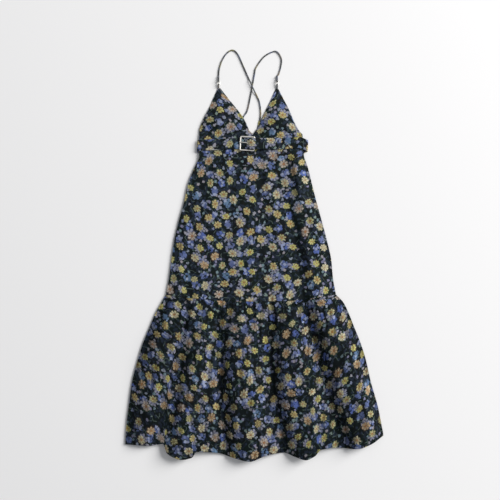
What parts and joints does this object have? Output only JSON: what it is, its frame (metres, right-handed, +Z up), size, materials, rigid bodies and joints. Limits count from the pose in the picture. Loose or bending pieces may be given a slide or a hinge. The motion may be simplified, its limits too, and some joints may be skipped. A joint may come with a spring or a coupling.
{
  "type": "camisole dress",
  "caption": "Midi camisole dress laid flat, with triangle cups, crossed narrow straps, gathered flounce and a buckled belt of its own cloth.",
  "frame": {"origin": "middle of the dress's bounding box, on the surface that it lies on", "axes": "+X to the viewer's right, +Y from hem to neck, +Z up from the surface; the front faces up"},
  "size_m": [0.774, 1.2363, 0.02],
  "materials": {
    "printed_cloth": "matt printed light plain weave",
    "pale_metal": "pale gold plated, satin polish"
  },
  "bodies": {
    "root": {"skirt_front": "printed_cloth", "skirt_back": "printed_cloth", "flounce_front": "printed_cloth", "flounce_back": "printed_cloth", "cup_left": "printed_cloth", "cup_right": "printed_cloth", "bodice_back": "printed_cloth", "strap_left": "printed_cloth", "strap_right": "printed_cloth", "cup_loop_left": "printed_cloth", "cup_loop_right": "printed_cloth", "belt": "printed_cloth", "ring_left": "pale_metal", "ring_right": "pale_metal", "buckle_frame": "pale_metal", "buckle_prong": "pale_metal"}
  },
  "joints": []
}
